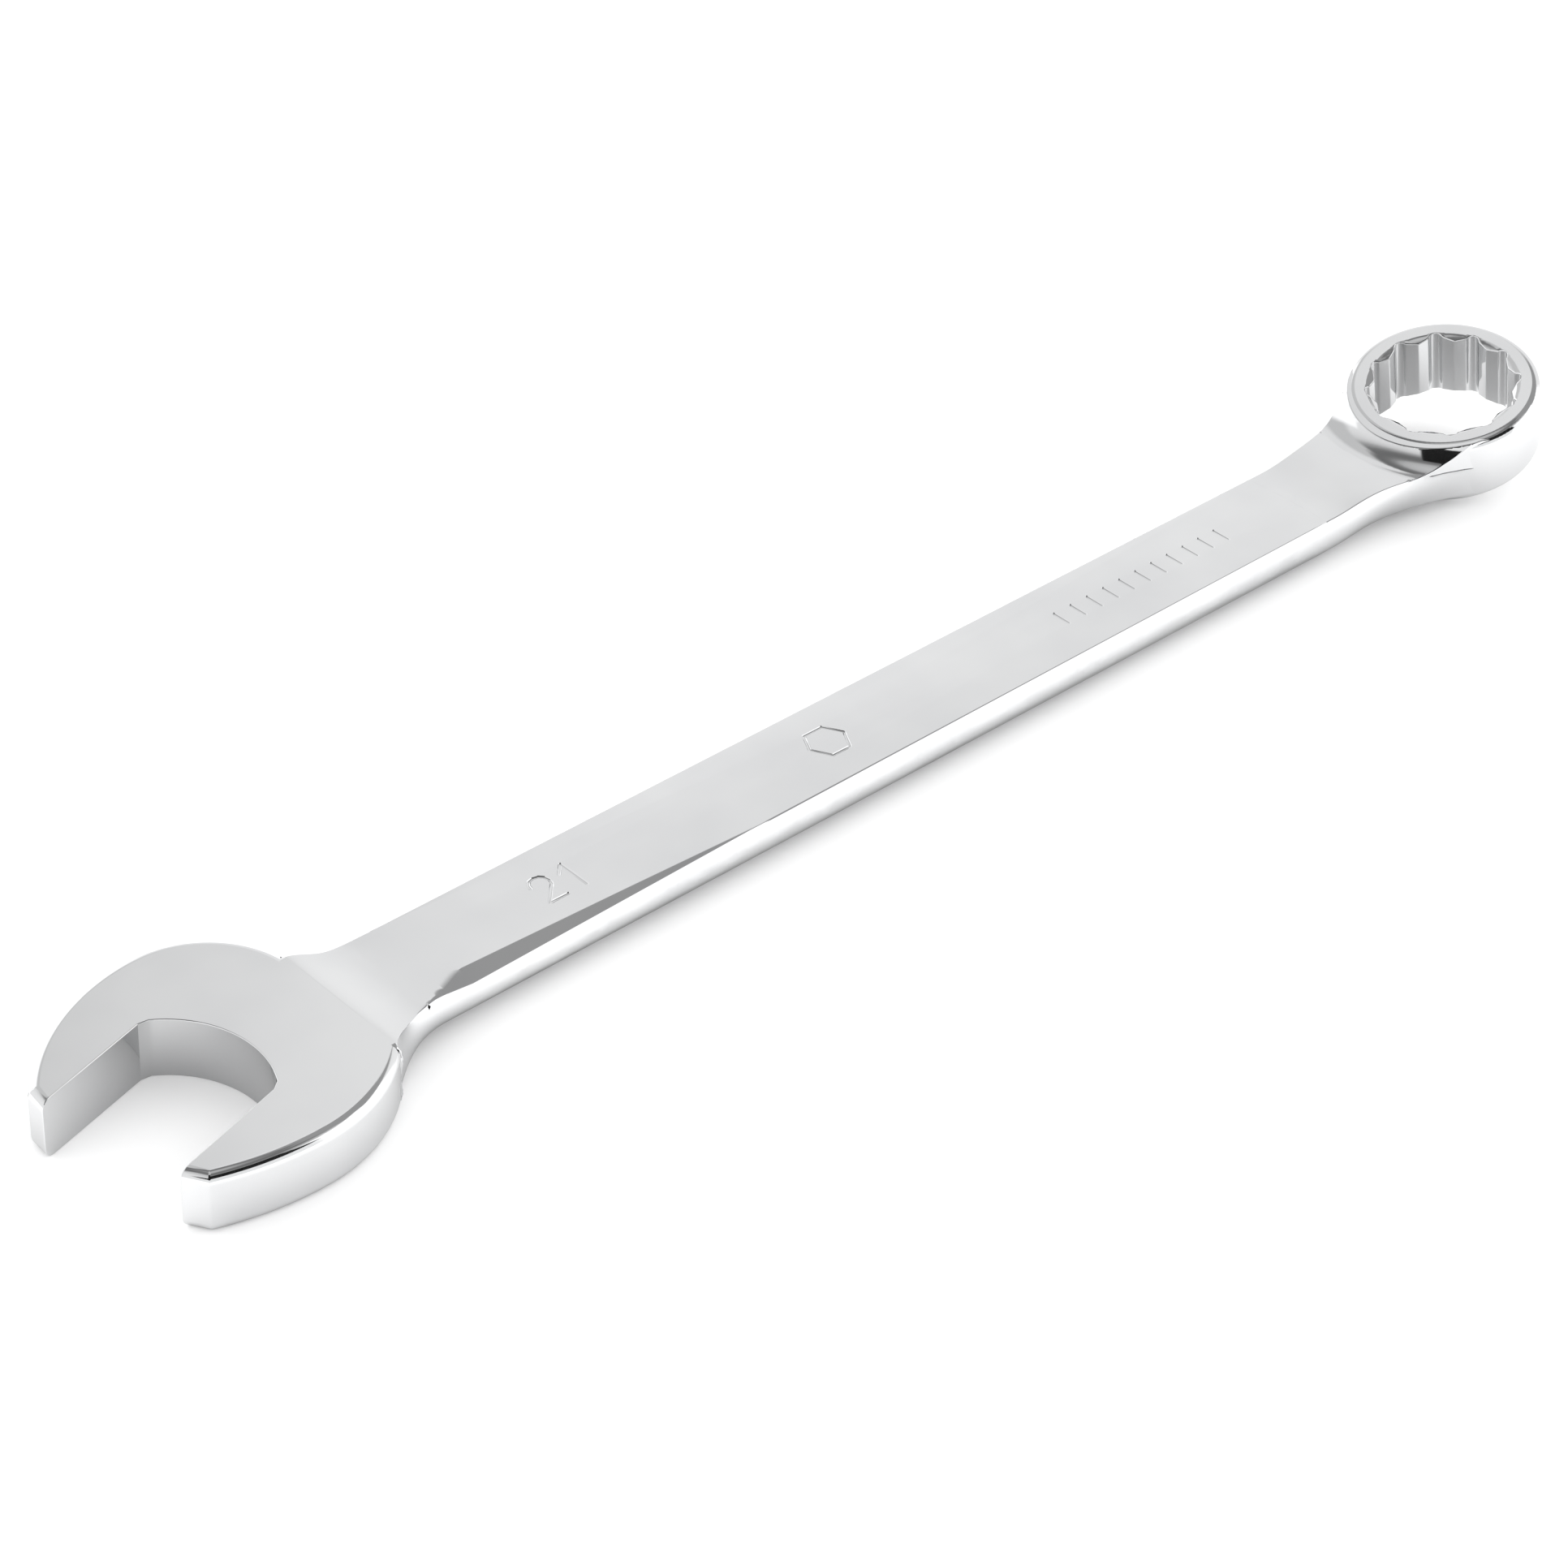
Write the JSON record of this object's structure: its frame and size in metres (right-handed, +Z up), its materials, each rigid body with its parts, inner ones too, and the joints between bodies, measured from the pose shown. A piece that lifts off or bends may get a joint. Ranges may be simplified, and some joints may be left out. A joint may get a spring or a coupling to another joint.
{
  "type": "combination wrench",
  "caption": "Forged combination wrench: angled open jaws at one end, a flat shank, and a tilted multi-point box ring at the other.",
  "frame": {"origin": "centre of a nut held between the open jaws, at half the thickness of the open end", "axes": "+X along the shank from the open end to the box end; +Z up, square to the faces of the open end, the side the box ring is raised towards; +Y across the shank, so the jaws open towards -X and are turned towards -Y"},
  "size_m": [0.2835, 0.0428, 0.0189],
  "materials": {
    "chrome_plate": "polished chrome plate over forged steel"
  },
  "bodies": {
    "root": {"open_jaw_right": "chrome_plate", "open_jaw_left": "chrome_plate", "open_end_web": "chrome_plate", "open_end_neck": "chrome_plate", "shank": "chrome_plate", "box_end_neck": "chrome_plate", "box_end_ring": "chrome_plate"}
  },
  "joints": []
}
